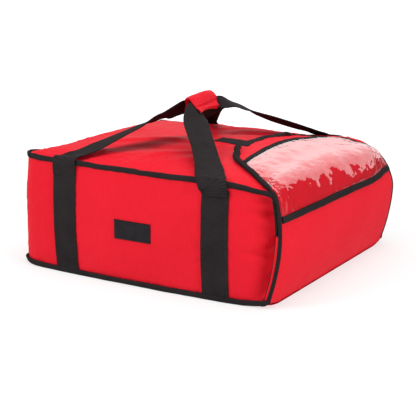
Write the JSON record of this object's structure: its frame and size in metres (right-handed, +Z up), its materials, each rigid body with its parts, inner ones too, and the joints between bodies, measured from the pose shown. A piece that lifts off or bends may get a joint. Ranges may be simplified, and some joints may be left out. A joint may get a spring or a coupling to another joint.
{
  "type": "pizza delivery bag",
  "caption": "End-loading insulated food bag with a padded fold-over flap, clear ticket window, two webbing loop handles and a wrap grip.",
  "frame": {"origin": "centre of the flat base, on the surface that the bag stands on", "axes": "+X from the closed end to the flap end, -Y the front wall with the label patch, +Z up"},
  "size_m": [0.5424, 0.4866, 0.314],
  "materials": {
    "red_nylon": "coated plain-weave nylon, soft sheen",
    "binding_tape": "ribbed polyester binding tape",
    "webbing": "woven polypropylene webbing",
    "insulation": "matt fibre batting",
    "lining": "coated wipe-clean lining",
    "clear_vinyl": "clear flexible vinyl, glossy",
    "hook_loop_tape": "hook and loop tape, matt pile",
    "label": "plain woven patch, bare"
  },
  "bodies": {
    "bag_body": {"bottom_panel": "red_nylon", "bottom_insulation": "insulation", "bottom_lining": "lining", "side_band": "red_nylon", "front_insulation": "insulation", "rear_insulation": "insulation", "closed_end_insulation": "insulation", "side_lining": "lining", "top_panel": "red_nylon", "top_insulation": "insulation", "top_lining": "lining", "top_binding": "binding_tape", "bottom_binding": "binding_tape", "mouth_binding": "binding_tape", "front_strap_left": "webbing", "front_strap_right": "webbing", "rear_strap_left": "webbing", "rear_strap_right": "webbing", "label_patch": "label", "top_loop_tape": "hook_loop_tape"},
    "flap_end": {"flap_end_lining": "lining", "flap_end_insulation": "insulation", "flap_end_panel": "red_nylon", "window_lower": "clear_vinyl", "window_bottom_binding": "binding_tape", "flap_binding_front": "binding_tape", "flap_binding_rear": "binding_tape", "gusset_wing_front": "red_nylon", "gusset_wing_rear": "red_nylon"},
    "flap_top": {"flap_top_lining": "lining", "flap_top_insulation": "insulation", "flap_top_panel": "red_nylon", "window_upper": "clear_vinyl", "window_top_binding": "binding_tape", "flap_top_binding": "binding_tape", "flap_hook_tape": "hook_loop_tape"},
    "front_loop": {"front_handle": "webbing"},
    "rear_loop": {"rear_handle": "webbing", "grip_pad": "red_nylon", "grip_loop_tape": "hook_loop_tape"},
    "grip_side": {"grip_flap": "red_nylon", "grip_hook_tape": "hook_loop_tape"}
  },
  "joints": [
    {"name": "flap_hinge", "type": "hinge", "parent": "bag_body", "child": "flap_end", "pos_m": [0.2625, 0, 0.012], "axis": [0, 1, 0], "range_deg": [0, 85]},
    {"name": "flap_fold", "type": "hinge", "parent": "flap_end", "child": "flap_top", "pos_m": [0.263, 0, 0.2045], "axis": [0, 1, 0], "range_deg": [0, 75]},
    {"name": "front_handle_swing", "type": "hinge", "parent": "bag_body", "child": "front_loop", "pos_m": [0, -0.2423, 0.18715], "axis": [1, 0, 0], "range_deg": [0, 145]},
    {"name": "rear_handle_swing", "type": "hinge", "parent": "bag_body", "child": "rear_loop", "pos_m": [0, 0.2423, 0.18715], "axis": [-1, 0, 0], "range_deg": [0, 145]},
    {"name": "grip_flap_open", "type": "hinge", "parent": "rear_loop", "child": "grip_side", "pos_m": [0.0193, 0, 0.314], "axis": [0, -1, 0], "range_deg": [0, 110]}
  ],
  "couplings": [
    {"joint": "rear_handle_swing", "follows": "front_handle_swing", "ratio": 1}
  ]
}
